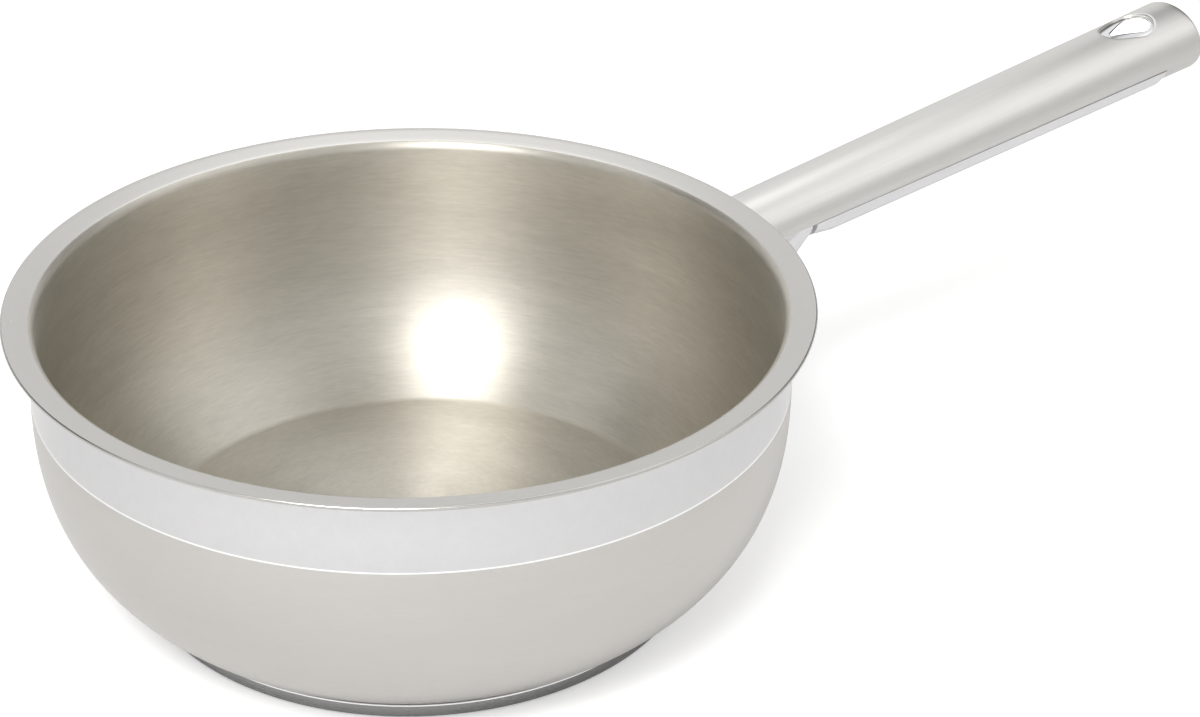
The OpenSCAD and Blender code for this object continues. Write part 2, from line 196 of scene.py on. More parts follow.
# %% Sizes of the bowl and its base
MM = 0.001
rim_r, pan_h, neck_r, belly_r = 130.0, 100.0, 121.0, 123.3
belly_z, wall_t, bend_r, rim_slope = 69.0, 1.2, 2.0, math.radians(12)
base_r, base_draft, foot_r = 94.5, 1.0, 1.8
core_t, cap_t, corner_rise, snug = 3.8, 0.8, 1.0, 0.05
floor_z = cap_t + core_t
edge_z = floor_z + corner_rise
edge_r = base_r - cap_t - snug
fullness = 2.46
belly_reach = (belly_z - edge_z) / (1 - (edge_r / belly_r) ** fullness) ** (1 / fullness)
edge_slope = math.atan(belly_reach / belly_r
                       * (edge_r / belly_r * belly_reach / (belly_z - edge_z)) ** (fullness - 1))
corner_r = corner_rise / (1 - math.cos(edge_slope))
flat_r = edge_r - corner_r * math.sin(edge_slope)
rim_mid = (rim_r - wall_t / 2, pan_h - wall_t / 2)
rim_end = (rim_mid[0] + wall_t / 2 * math.sin(rim_slope),
           rim_mid[1] - wall_t / 2 * math.cos(rim_slope))
bend_out = bend_r * (1 - math.sin(rim_slope))
bend_up = bend_r * math.cos(rim_slope)
neck_z = rim_end[1] - (rim_end[0] - neck_r - bend_out) * math.tan(rim_slope) - bend_up
print("flat floor out to", round(flat_r, 2), "mm; slope of the wall there",
      round(math.degrees(edge_slope), 1), "degrees")


# %% Outer radius of the bowl at a height
def bowl_r(z):
    if z <= belly_z:
        return belly_r * (1 - ((belly_z - z) / belly_reach) ** fullness) ** (1 / fullness)
    if z <= neck_z:
        turn = math.pi * (z - belly_z) / (neck_z - belly_z)
        return neck_r + (belly_r - neck_r) * (1 + math.cos(turn)) / 2
    if z < neck_z + bend_up:
        return neck_r + bend_r * (1 - math.cos(math.asin((z - neck_z) / bend_r)))
    return neck_r + bend_out + (z - neck_z - bend_up) / math.tan(rim_slope)


print("radius under the rim:", round(bowl_r(90), 2), "mm")

# %% [markdown]
# ## Mesh helpers
# Everything turned on a lathe, the bowl and its capsule, is one profile swept round the
# axis. Everything else here is a sheet given by rows of points. Two small functions make
# both, and a number per face says which finish that face has.

# %% Helpers that turn rows of points into meshes
def finish_mesh(name, points, faces, materials, face_slots=None, sharp=35, around_along=None):
    mesh = bpy.data.meshes.new(name)
    mesh.from_pydata([(x * MM, y * MM, z * MM) for x, y, z in points], [], faces)
    if around_along:
        layer = mesh.uv_layers.new(name="around_and_along")
        for loop in mesh.loops:
            layer.data[loop.index].uv = around_along[loop.vertex_index]
    for mat in materials:
        mesh.materials.append(mat)
    if face_slots:
        mesh.polygons.foreach_set("material_index", face_slots)
    mesh.polygons.foreach_set("use_smooth", [True] * len(mesh.polygons))
    mesh.update()
    mesh.set_sharp_from_angle(angle=math.radians(sharp))
    ob = bpy.data.objects.new(name, mesh)
    scene.collection.objects.link(ob)
    return ob


def lathe(name, profile, materials, slot_of, steps=256, sharp=35):
    points, faces, slots = [], [], []
    rings = []
    for r, z in profile:
        if r < 1e-6:
            rings.append([len(points)] * steps)
            points.append((0, 0, z))
            continue
        rings.append(list(range(len(points), len(points) + steps)))
        for k in range(steps):
            a = 2 * math.pi * k / steps
            points.append((r * math.cos(a), r * math.sin(a), z))
    for j in range(len(profile) - 1):
        low, high = rings[j], rings[j + 1]
        slot = slot_of(j)
        for k in range(steps):
            n = (k + 1) % steps
            face = [low[k], low[n], high[n], high[k]]
            face = [v for i, v in enumerate(face) if v not in face[:i]]
            faces.append(face)
            slots.append(slot)
    return finish_mesh(name, points, faces, materials, slots, sharp)


def sheet(name, rows, materials, closed=False, skip=None, sharp=35, extra=()):
    points = [p for row in rows for p in row]
    n = len(rows[0])
    uv = [(i / n, j / len(rows)) for j in range(len(rows)) for i in range(n)]
    faces = []
    for j in range(len(rows) - 1):
        for i in range(n if closed else n - 1):
            if skip and skip(j, i):
                continue
            a, b = j * n + i, j * n + (i + 1) % n
            faces.append((a, b, b + n, a + n))
    for build in extra:
        more_points, more_faces, more_uv = build(points, n)
        points += more_points
        faces += more_faces
        uv += more_uv
    return finish_mesh(name, points, faces, materials, None, sharp, uv)


print("helpers ready")

# %% [markdown]
# ## Finishes
# Two effects come up on nearly every piece, so each is a node group with named inputs. The
# first is brushing: very long thin noise, drawn round the axis on turned pieces and along
# the handle elsewhere. The second is handling: soft clouds and a few short marks that
# change the gloss a little. Both put out plain values, and the shader stays in the material.

# %% Node group: brushed lines
def new_group(name, inputs, outputs):
    group = bpy.data.node_groups.new(name, "ShaderNodeTree")
    for kind, label, value in inputs:
        socket = group.interface.new_socket(label, in_out="INPUT", socket_type=kind)
        if value is not None:
            socket.default_value = value
    for kind, label in outputs:
        group.interface.new_socket(label, in_out="OUTPUT", socket_type=kind)
    return group, group.nodes.new("NodeGroupInput"), group.nodes.new("NodeGroupOutput")


def math_node(tree, operation, a, b=None):
    node = tree.nodes.new("ShaderNodeMath")
    node.operation = operation
    for socket, value in zip(node.inputs, (a, b)):
        if value is None:
            continue
        if hasattr(value, "default_value"):
            tree.links.new(value, socket)
        else:
            socket.default_value = value
    return node.outputs[0]


lines_group, g_in, g_out = new_group(
    "brushed_lines",
    [("NodeSocketVector", "Coordinates", None), ("NodeSocketFloat", "Fineness", 60.0),
     ("NodeSocketFloat", "Colour depth", 0.1), ("NodeSocketColor", "Colour", None)],
    [("NodeSocketColor", "Colour"), ("NodeSocketFloat", "Lines")])
fine = lines_group.nodes.new("ShaderNodeTexNoise")
fine.inputs["Detail"].default_value = 4
fine.inputs["Roughness"].default_value = 0.65
lines_group.links.new(g_in.outputs["Coordinates"], fine.inputs["Vector"])
lines_group.links.new(g_in.outputs["Fineness"], fine.inputs["Scale"])
broad = lines_group.nodes.new("ShaderNodeTexNoise")
broad.inputs["Detail"].default_value = 2
lines_group.links.new(g_in.outputs["Coordinates"], broad.inputs["Vector"])
lines_group.links.new(math_node(lines_group, "MULTIPLY", g_in.outputs["Fineness"], 0.16),
                      broad.inputs["Scale"])
both = math_node(lines_group, "ADD", math_node(lines_group, "MULTIPLY", fine.outputs[0], 0.65),
                 math_node(lines_group, "MULTIPLY", broad.outputs[0], 0.35))
swing = math_node(lines_group, "MULTIPLY", math_node(lines_group, "SUBTRACT", both, 0.5),
                  g_in.outputs["Colour depth"])
gain = math_node(lines_group, "ADD", math_node(lines_group, "MULTIPLY", swing, 2.0), 1.0)
tint = lines_group.nodes.new("ShaderNodeVectorMath")
tint.operation = "SCALE"
lines_group.links.new(g_in.outputs["Colour"], tint.inputs[0])
lines_group.links.new(gain, tint.inputs["Scale"])
lines_group.links.new(tint.outputs[0], g_out.inputs["Colour"])
lines_group.links.new(both, g_out.inputs["Lines"])
print("group:", lines_group.name)

# %% [markdown]
# Handling leaves soft clouds and small specks. Two noises of different size are added, and
# their sum moves the roughness a little to both sides of the given gloss.

# %% Node group: handling marks
marks_group, m_in, m_out = new_group(
    "handling_marks",
    [("NodeSocketVector", "Coordinates", None), ("NodeSocketFloat", "Gloss", 0.3),
     ("NodeSocketFloat", "Spread", 0.06)],
    [("NodeSocketFloat", "Roughness")])
cloud = marks_group.nodes.new("ShaderNodeTexNoise")
cloud.inputs["Scale"].default_value = 14
cloud.inputs["Detail"].default_value = 3
marks_group.links.new(m_in.outputs["Coordinates"], cloud.inputs["Vector"])
speck = marks_group.nodes.new("ShaderNodeTexNoise")
speck.inputs["Scale"].default_value = 160
speck.inputs["Detail"].default_value = 2
marks_group.links.new(m_in.outputs["Coordinates"], speck.inputs["Vector"])
mixed = math_node(marks_group, "ADD", math_node(marks_group, "MULTIPLY", cloud.outputs[0], 0.7),
                  math_node(marks_group, "MULTIPLY", speck.outputs[0], 0.3))
shift = math_node(marks_group, "MULTIPLY", math_node(marks_group, "SUBTRACT", mixed, 0.5),
                  m_in.outputs["Spread"])
marks_group.links.new(
    math_node(marks_group, "ADD", m_in.outputs["Gloss"],
              math_node(marks_group, "MULTIPLY", shift, 2.0)),
    m_out.inputs["Roughness"])
print("group:", marks_group.name)

# %% [markdown]
# Brushing follows the tool, so its noise is squeezed in one direction only. Round the axis,
# the coordinates are the distance from the axis and the height, while the way round is
# shrunk to almost nothing. Along the handle they are turned by its tilt and shrunk
# lengthwise. The noise then comes out as long thin lines.

# %% Node groups: coordinates for brushing round the axis and along the handle
round_group, r_in, r_out = new_group(
    "round_the_axis", [("NodeSocketFloat", "Stretch", 0.02)],
    [("NodeSocketVector", "Coordinates")])
where = round_group.nodes.new("ShaderNodeTexCoord")
split = round_group.nodes.new("ShaderNodeSeparateXYZ")
round_group.links.new(where.outputs["Object"], split.inputs[0])
out_x, out_y, out_z = split.outputs
reach = math_node(round_group, "MAXIMUM", math_node(
    round_group, "SQRT", math_node(round_group, "ADD", math_node(
        round_group, "MULTIPLY", out_x, out_x), math_node(
            round_group, "MULTIPLY", out_y, out_y))), 0.0001)
join = round_group.nodes.new("ShaderNodeCombineXYZ")
for socket, part in zip(join.inputs, (out_x, out_y)):
    turned = math_node(round_group, "DIVIDE", part, reach)
    round_group.links.new(math_node(round_group, "MULTIPLY", turned, r_in.outputs["Stretch"]),
                          socket)
round_group.links.new(math_node(round_group, "ADD", reach, math_node(
    round_group, "MULTIPLY", out_z, 1.3)), join.inputs[2])
round_group.links.new(join.outputs[0], r_out.inputs[0])

handle_tilt = math.radians(7.7)
along_group, a_in, a_out = new_group(
    "along_the_handle", [("NodeSocketFloat", "Stretch", 0.02)],
    [("NodeSocketVector", "Coordinates")])
place = along_group.nodes.new("ShaderNodeTexCoord")
turn = along_group.nodes.new("ShaderNodeMapping")
turn.inputs["Rotation"].default_value = (0, handle_tilt, 0)
along_group.links.new(place.outputs["Object"], turn.inputs[0])
parts = along_group.nodes.new("ShaderNodeSeparateXYZ")
along_group.links.new(turn.outputs[0], parts.inputs[0])
again = along_group.nodes.new("ShaderNodeCombineXYZ")
along_group.links.new(math_node(along_group, "MULTIPLY", parts.outputs[0],
                                a_in.outputs["Stretch"]), again.inputs[0])
along_group.links.new(parts.outputs[1], again.inputs[1])
along_group.links.new(parts.outputs[2], again.inputs[2])
along_group.links.new(again.outputs[0], a_out.inputs[0])
print("groups:", round_group.name, along_group.name)

# %% [markdown]
# ## Steel
# Every piece is bare metal, so one function makes all finishes from the two effects: a
# colour, a gloss, the grain's direction, its depth and a fine bump. Brushed steel also
# stretches its highlights across the brushing. That is the shader's anisotropy, with a
# tangent round the axis or along the mesh's own map.

# %% One function that builds a steel finish
def steel(name, colour, gloss, spread=0.04, grain=None, stretch=0.02, fineness=1500.0,
          depth=0.08, bump=0.0, anisotropy=0.0):
    mat = bpy.data.materials.new(name)
    mat.use_nodes = True
    nt = mat.node_tree
    shader = nt.nodes["Principled BSDF"]
    shader.inputs["Metallic"].default_value = 1.0
    here = nt.nodes.new("ShaderNodeTexCoord")
    marks = nt.nodes.new("ShaderNodeGroup")
    marks.node_tree = marks_group
    nt.links.new(here.outputs["Object"], marks.inputs["Coordinates"])
    marks.inputs["Gloss"].default_value = gloss
    marks.inputs["Spread"].default_value = spread
    lines = nt.nodes.new("ShaderNodeGroup")
    lines.node_tree = lines_group
    lines.inputs["Colour"].default_value = (*colour, 1)
    lines.inputs["Fineness"].default_value = fineness
    lines.inputs["Colour depth"].default_value = depth
    if grain:
        brush = nt.nodes.new("ShaderNodeGroup")
        brush.node_tree = grain
        brush.inputs["Stretch"].default_value = stretch
        nt.links.new(brush.outputs["Coordinates"], lines.inputs["Coordinates"])
    else:
        nt.links.new(here.outputs["Object"], lines.inputs["Coordinates"])
    nt.links.new(lines.outputs["Colour"], shader.inputs["Base Color"])
    rough = nt.nodes.new("ShaderNodeMath")
    rough.operation = "MULTIPLY_ADD"
    nt.links.new(lines.outputs["Lines"], rough.inputs[0])
    rough.inputs[1].default_value = spread
    nt.links.new(marks.outputs["Roughness"], rough.inputs[2])
    nt.links.new(rough.outputs[0], shader.inputs["Roughness"])
    if bump:
        raised = nt.nodes.new("ShaderNodeBump")
        raised.inputs["Strength"].default_value = bump
        raised.inputs["Distance"].default_value = 0.0001
        nt.links.new(lines.outputs["Lines"], raised.inputs["Height"])
        nt.links.new(raised.outputs[0], shader.inputs["Normal"])
    if anisotropy:
        shader.inputs["Anisotropic"].default_value = anisotropy
        tangent = nt.nodes.new("ShaderNodeTangent")
        if grain == round_group:
            tangent.direction_type = "RADIAL"
            tangent.axis = "Z"
            shader.inputs["Anisotropic Rotation"].default_value = 0.25
        else:
            tangent.direction_type = "UV_MAP"
            tangent.uv_map = "around_and_along"
        nt.links.new(tangent.outputs[0], shader.inputs["Tangent"])
    return mat


print("steel finishes can be made")

# %% [markdown]
# The pan shows its finishes side by side: satin belly, polished band with a fine line under it
# whose near-white colour is a painted highlight, satin lip, an inside brushed in rings, and a
# turned base whose darker colour is painted shade. The handle is brushed lengthwise, and its
# underplate and bracket are polished. The hanging hole's sleeve gets a painted glow of its own,
# which stands in for light that bounces in a narrow shiny sleeve many more times than the
# renderer follows it.

# %% Name the pan's finishes
satin_outside = steel("satin_outside", (0.58, 0.565, 0.54), 0.3, grain=round_group, depth=0.06,
                      bump=0.1, anisotropy=0.5)
polished_band = steel("polished_band", (0.65, 0.645, 0.65), 0.1, 0.02)
# Painted highlight: the fine line under the band and the capsule's lip get a near-white colour
# that stands in for light catching their edge.
painted_highlight_line = steel("painted_highlight_line", (0.95, 0.95, 0.96), 0.08, 0.01)
satin_lip = steel("satin_lip", (0.52, 0.51, 0.49), 0.24, grain=round_group, depth=0.04)
brushed_inside = steel("brushed_inside", (0.57, 0.545, 0.49), 0.42, 0.05, grain=round_group,
                       fineness=800.0, depth=0.26, bump=0.25, anisotropy=0.8)
# Painted shade: the base's colour is much darker than the bowl's steel, for the shade under the
# pan.
turned_base_painted_shade = steel("turned_base_painted_shade", (0.32, 0.32, 0.32), 0.26, grain=round_group, depth=0.2,
                    bump=0.15, anisotropy=0.5)
brushed_handle = steel("brushed_handle", (0.64, 0.63, 0.61), 0.31, 0.05, grain=along_group,
                       depth=0.12, bump=0.12, anisotropy=0.5)
polished_plate = steel("polished_plate", (0.76, 0.755, 0.77), 0.14, 0.03)
# Painted glow: the sleeve's emission stands in for light bounced round inside the narrow hole.
sleeve_painted_glow = steel("sleeve_painted_glow", (0.98, 0.98, 0.98), 0.4, 0.01)
sleeve_shader = sleeve_painted_glow.node_tree.nodes["Principled BSDF"]
sleeve_shader.inputs["Emission Color"].default_value = (1, 1, 1, 1)
sleeve_shader.inputs["Emission Strength"].default_value = 0.5
weld_metal = steel("weld_metal", (0.5, 0.49, 0.47), 0.34, 0.08, fineness=900.0, depth=0.3,
                   bump=0.5)
rolled_aluminium = steel("rolled_aluminium", (0.78, 0.78, 0.8), 0.35, 0.05, depth=0.08)
print("finishes:", len(bpy.data.materials))

# %% [markdown]
# ## Bowl
# The bowl is one drawn sheet. Its outside runs from the flat floor round a full belly, in to
# the neck and out over the flared rim, and its inside is the same curve moved in by the
# sheet's thickness. It could be a solid with a modifier for the thickness, but the finishes
# change along the profile, so both sides are swept together and each ring of faces gets its
# own: satin belly, a thin line with a painted highlight, a polished band, the satin lip and
# the brushed inside.

# %% Sweep the bowl's profile
def outer_profile(corner_n=10, belly_n=46, neck_n=24, bend_n=16, flange_n=4):
    corner = [edge_slope * i / corner_n for i in range(corner_n)]
    points = [(flat_r + corner_r * math.sin(a), floor_z + corner_r * (1 - math.cos(a)))
              for a in corner]
    heights = [edge_z + (belly_z - edge_z) * math.sin(math.pi / 2 * i / belly_n)
               for i in range(belly_n)]
    heights += [belly_z + (neck_z - belly_z) * i / neck_n for i in range(neck_n)]
    points += [(bowl_r(z), z) for z in heights]
    bend = [(math.pi / 2 - rim_slope) * i / bend_n for i in range(bend_n + 1)]
    points += [(neck_r + bend_r * (1 - math.cos(a)), neck_z + bend_r * math.sin(a)) for a in bend]
    last = points[-1]
    points += [(last[0] + (rim_end[0] - last[0]) * i / flange_n,
                last[1] + (rim_end[1] - last[1]) * i / flange_n) for i in range(1, flange_n + 1)]
    return points


def moved_left(profile, distance):
    moved = []
    for i, (r, z) in enumerate(profile):
        before, after = profile[max(i - 1, 0)], profile[min(i + 1, len(profile) - 1)]
        dr, dz = after[0] - before[0], after[1] - before[1]
        size = math.hypot(dr, dz)
        moved.append((r - distance * dz / size, z + distance * dr / size))
    return moved


band_low, band_line, lip_low = 74.1, 0.55, 98.25
outer = outer_profile()
cut = [k for k in range(1, len(outer)) if outer[k - 1][1] < band_low <= outer[k][1]][0]
for height in (band_low, band_low - band_line):
    outer.insert(cut, (bowl_r(height), height))
inner = moved_left(outer, wall_t)
edge_n = 10
rim_edge = [(rim_mid[0] + wall_t / 2 * math.cos(a), rim_mid[1] + wall_t / 2 * math.sin(a))
            for a in [rim_slope - math.pi / 2 + math.pi * i / edge_n for i in range(1, edge_n)]]
profile = [(0, floor_z)] + outer + rim_edge + inner[::-1] + [(0, floor_z + wall_t)]


def bowl_finish(j):
    z = (profile[j][1] + profile[j + 1][1]) / 2
    if j < len(outer):
        if z < band_low - band_line:
            return 0
        return 1 if z < band_low else 2
    if z > lip_low:
        return 3
    return 4


bowl = lathe("bowl_sheet", profile,
             [satin_outside, painted_highlight_line, polished_band, satin_lip, brushed_inside], bowl_finish)
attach(bowl, "root")
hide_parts("pan_bowl")
print("bowl:", len(bowl.data.polygons), "faces")

# %% [markdown]
# ## Base
# A steel capsule wraps the aluminium disc under the floor. Its foot is rounded, its side
# leans out a little, and its top edge is a thin rounded lip that leaves a fine dark line
# against the bowl. The lip carries the near-white painted highlight line, and the rest of the
# capsule's colour is darkened as painted shade. Underneath it is turned flat, with two shallow
# rings.

# %% Sweep the capsule
side_angle = math.atan2(edge_z, base_draft)
foot_corner = base_r - base_draft
foot_flat = foot_corner - foot_r * math.tan(side_angle / 2)
recess, groove_z, groove_top, groove_floor = 0.25, 0.45, 1.5, 1.0
under = [(0, recess)]
for ring_r in (24.0, 60.0):
    under += [(ring_r - groove_top, recess), (ring_r - groove_floor, groove_z),
              (ring_r + groove_floor, groove_z), (ring_r + groove_top, recess)]
under += [(foot_flat - 5, recess), (foot_flat - 4, 0.0)]
arc = [(foot_flat + foot_r * math.sin(a), foot_r * (1 - math.cos(a)))
       for a in [side_angle * i / 10 for i in range(11)]]
lip_mid = (base_r - cap_t / 2, edge_z - cap_t / 2)
lip = [(lip_mid[0] + cap_t / 2 * math.cos(a), lip_mid[1] + cap_t / 2 * math.sin(a))
       for a in [math.pi * i / 8 for i in range(9)]]
cap_profile = under + arc + lip + [(edge_r + snug, edge_z - 2)]
lip_faces = range(len(under) + len(arc), len(cap_profile))
# The lip takes the painted highlight line, and the rest of the capsule takes the darkened colour
# that is painted shade.
cap = lathe("base_capsule", cap_profile, [turned_base_painted_shade, painted_highlight_line],
            lambda j: 1 if j in lip_faces else 0, sharp=50)
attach(cap, "root")
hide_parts("base_cap")
print("capsule:", len(cap.data.polygons), "faces")

# %% [markdown]
# ## Handle
# The handle is a hollow tube pressed from two shells. Every piece of it is described in the
# handle's own frame, along its centreline, across and up, and one function places a point in
# the pan's frame. Its root has to follow the flared wall of the bowl, so the length at which
# each line of the tube meets the wall is found by a few repeated steps.

# %% Sizes and helper functions of the handle
handle_l, handle_z = 229.0, 84.5
handle_x = bowl_r(handle_z)
root_w, root_h, tip_w, tip_h, tip_round = 28.0, 21.0, 33.4, 26.6, 4.0
shell_t, neck_start, plate_start = 1.2, 35.9, 45.9
plate_end, plate_slant, plate_drop, neck_rise = 204.0, 4.0, 1.8, 2.1
seam_root, seam_tip, liner_t = 1.0, 3.6, 0.8
rear = plate_end + plate_slant


def half_w(s):
    return (root_w + (tip_w - root_w) * max(0, s) / handle_l) / 2


def half_h(s):
    return (root_h + (tip_h - root_h) * max(0, s) / handle_l) / 2


def seam(s):
    return seam_root + (seam_tip - seam_root) * s / handle_l


def plate_sink(s):
    return plate_drop - neck_rise * min(1, max(0, (plate_start - s) / (plate_start - neck_start)))


def placed(s, y, z):
    c, d = math.cos(handle_tilt), math.sin(handle_tilt)
    return (handle_x + s * c - z * d, y, handle_z + s * d + z * c)


def cope(y, z, gap):
    s = 0.0
    for _ in range(10):
        x, _, h = placed(s, y, z)
        s += bowl_r(min(h, pan_h - wall_t)) + gap - math.hypot(x, y)
    return s


def seam_turn(s, sink=0.0):
    return math.acos(-seam(s) / (half_h(s) + sink))


print("handle leaves the wall at x =", round(handle_x, 2), "mm")


# %% [markdown]
# The hanging hole has two outlines, a wide one in the upper shell and a drop in the sleeve
# under it. Each is the line round two circles, a large one and a small one, as a string
# pulled tight round two coins would lie. Its points are spread evenly along that line, so
# that a ring of one outline can be joined to a ring of the other.

# %% Outlines of the hanging hole
hole_x, hole_r, tail_x, tail_r, hole_mid = 204.0, 8.6, 195.6, 5.8, 200.5
drop_x, drop_r, drop_tail, drop_tip_r = 206.2, 5.6, 14.0, 0.9


def outline_of(circles, count):
    (x1, r1), (x2, r2) = circles
    lean = math.acos((r1 - r2) / (x1 - x2))
    loop = []
    for centre, r, low, high in ((x1, r1, -(math.pi - lean), math.pi - lean),
                                 (x2, r2, math.pi - lean, math.pi + lean)):
        n = max(2, int(80 * (high - low)))
        loop += [(centre + r * math.cos(low + (high - low) * i / n),
                  r * math.sin(low + (high - low) * i / n)) for i in range(n + 1)]
    loop.append(loop[0])
    lengths = [0.0]
    for a, b in zip(loop, loop[1:]):
        lengths.append(lengths[-1] + math.dist(a, b))
    k, picked = 0, []
    for i in range(count):
        goal = lengths[-1] * i / count
        while lengths[k + 1] < goal:
            k += 1
        t = (goal - lengths[k]) / max(1e-9, lengths[k + 1] - lengths[k])
        a, b = loop[k], loop[k + 1]
        picked.append((a[0] + (b[0] - a[0]) * t, a[1] + (b[1] - a[1]) * t))
    first = min(range(count),
                key=lambda i: abs(math.atan2(picked[i][1], picked[i][0] - hole_mid)))
    return picked[first:] + picked[:first]


def opening_loop(count, grow=0.0):
    return outline_of(((hole_x, hole_r + grow), (tail_x, tail_r + grow)), count)


def drop_loop(count, grow=0.0):
    lean = math.acos(drop_r / drop_tail)
    back = drop_tail - drop_tip_r / math.cos(lean)
    return outline_of(((drop_x, drop_r + grow), (drop_x - back, drop_tip_r + grow)), count)


print("drop-shaped hole:", round(drop_x + drop_r - (drop_x - drop_tail), 1), "mm long")


# %% [markdown]
# The lower half of the handle is cut by the hanging hole too. There the grid's points are
# moved to the hole's outline, and the faces inside it are left out.

# %% Surfaces of the handle, and the cut for the hole's lower end
def top_z(s, y, deeper=0.0):
    w, h = half_w(s) - deeper, half_h(s) - deeper
    return h * math.sqrt(max(0.0, 1 - (y / w) ** 2))


def bottom_z(s, y, sink):
    return -(half_h(s) + sink) * math.sqrt(max(0.0, 1 - (y / half_w(s)) ** 2))


def within(loop, s, y):
    odd = False
    for (s1, y1), (s2, y2) in zip(loop, loop[1:] + loop[:1]):
        if (y1 > y) != (y2 > y) and s < s1 + (s2 - s1) * (y - y1) / (y2 - y1):
            odd = not odd
    return odd


def cut_drop(rows):
    loop = drop_loop(240, liner_t + snug)
    hidden = set()
    inside = [[abs(y) < hole_r + 0.4 and within(loop, s, y) for s, y in row] for row in rows]
    for j in range(len(rows) - 1):
        for i in range(len(rows[0]) - 1):
            corners = [(j, i), (j, i + 1), (j + 1, i + 1), (j + 1, i)]
            if any(inside[a][b] for a, b in corners):
                hidden.add((j, i))
                for a, b in corners:
                    if not inside[a][b]:
                        rows[a][b] = min(loop, key=lambda p: math.dist(p, rows[a][b]))
    return hidden


def slanted(s, z):
    return plate_slant * max(0.0, -z - seam(s)) / (tip_h - seam(s))


def tip_scale(s, power=2.3):
    t = max(0.0, (s - (handle_l - tip_round)) / tip_round)
    return (1 - t ** power) ** (1 / power)


print("width and height at the tip:", round(2 * half_w(handle_l), 1),
      round(2 * half_h(handle_l), 1))

# %% [markdown]
# The upper shell covers the top down to the seam and closes round the tip. Its grid leaves
# out a window over the hanging hole, and rings of faces fill the window from its edge in to
# the opening. That keeps the surface smooth and gives the opening a rounded edge, which a
# boolean cut wouldn't. Along the seam, the last columns fold in by the sheet's thickness,
# which draws the fine line between the two shells.

# %% Rows of the upper shell
root_s, root_n = 20, 8
body_s = [root_s + (181 - root_s) * i / 36 for i in range(37)]
window_s = [183 + i for i in range(25)] + [rear] + [209 + i for i in range(9)]
last_s = [handle_l - tip_round * (1 - math.sin(math.pi / 2 * 0.97 * i / 14)) for i in range(15)]
stations = body_s + window_s + [220.0, 222.5] + last_s
upper_n, lower_n, fold_n, fold_a = 72, 72, 3, 0.014
window_cols = range(fold_n + upper_n // 2 - 16, fold_n + upper_n // 2 + 16)


def upper_columns(s):
    a1 = seam_turn(s)
    a2 = a1 - fold_a
    fold = [(a1, shell_t), (a1, 0.18), (a1 - 0.004, 0.05)]
    return ([(-a, inset) for a, inset in fold]
            + [(-a2 + 2 * a2 * i / upper_n, 0.0) for i in range(upper_n + 1)] + fold[::-1])


def shell_point(s, a, inset=0.0):
    k = tip_scale(s)
    return (half_w(s) - inset) * k * math.sin(a), (half_h(s) - inset) * k * math.cos(a)


start_rows = []
for j in range(root_n):
    row = []
    for a, inset in upper_columns(0):
        s = cope(*shell_point(0, a, inset), snug) * (1 - j / root_n) + root_s * j / root_n
        row.append(placed(s, *shell_point(s, a, inset)))
    start_rows.append(row)
shell_rows = start_rows + [[placed(s, *shell_point(s, a, inset)) for a, inset in upper_columns(s)]
                           for s in stations]
first_window = len(start_rows) + len(body_s)
last_window = first_window + len(window_s) - 1
tip_row = len(start_rows) + stations.index(rear)
print("rows:", len(shell_rows), "of", len(shell_rows[0]), "points")

# %% [markdown]
# The window's edge and the opening's outline have the same number of points. Rings of points
# between the two carry the surface in, and the last rings turn down through the sheet's
# thickness, which rounds the opening's edge.

# %% Fill the window round the hanging hole
def skip_upper(j, i):
    if first_window <= j < last_window and i in window_cols:
        return True
    return j >= tip_row and not fold_n <= i < fold_n + upper_n


def hole_patch(points, n, soft=1.0):
    low, high = window_cols[0], window_cols[-1] + 1
    top, bottom = first_window, last_window
    loop = ([(bottom, i) for i in range((low + high) // 2, high)]
            + [(j, high) for j in range(bottom, top, -1)]
            + [(top, i) for i in range(high, low, -1)]
            + [(j, low) for j in range(top, bottom)]
            + [(bottom, i) for i in range(low, (low + high) // 2)])
    flat = []
    for j, i in loop:
        s = stations[j - len(start_rows)]
        flat.append((s, shell_point(s, upper_columns(s)[i][0])[0]))
    count = len(loop)
    opening = opening_loop(count)
    if sum(a[0] * b[1] - b[0] * a[1] for a, b in zip(flat, flat[1:])) < 0:
        opening = [opening[0]] + opening[:0:-1]
    bases = [[(f[0] * t + o[0] * (1 - t), f[1] * t + o[1] * (1 - t), 0.0, soft * (1 - t))
              for f, o in zip(flat, opening)] for t in (0.75, 0.5, 0.3, 0.16, 0.07)]
    for i in range(7):
        a = math.pi / 2 * i / 6
        bases.append([(o[0], o[1], soft * (1 - math.cos(a)), soft * (1 - math.sin(a)))
                      for o in opening])
    bases.append([(o[0], o[1], shell_t, 0.0) for o in opening])
    more, faces, more_uv = [], [], []
    rings = [[j * n + i for j, i in loop]]
    for base in bases:
        rings.append(range(len(points) + len(more), len(points) + len(more) + count))
        for s, y, sunk, out in base:
            away = math.hypot(s - hole_mid, y)
            s2 = s + (s - hole_mid) / away * out
            y2 = y + y / away * out
            more.append(placed(s2, y2, top_z(s2, y2) - sunk))
            more_uv.append((0.5 + math.asin(y2 / half_w(s2)) / (2 * seam_turn(s2)), s2 / handle_l))
    for outer_ring, inner_ring in zip(rings, rings[1:]):
        for i in range(count):
            k = (i + 1) % count
            faces.append((outer_ring[i], outer_ring[k], inner_ring[k], inner_ring[i]))
    return more, faces, more_uv


print("window:", last_window - first_window, "rows by", len(window_cols), "columns")

# %% [markdown]
# Behind the underplate's slanted end the upper shell goes all the way round. Its underside
# is a grid of its own, which starts with the same slant and is cut by the hole. One flat
# face closes the last ring.

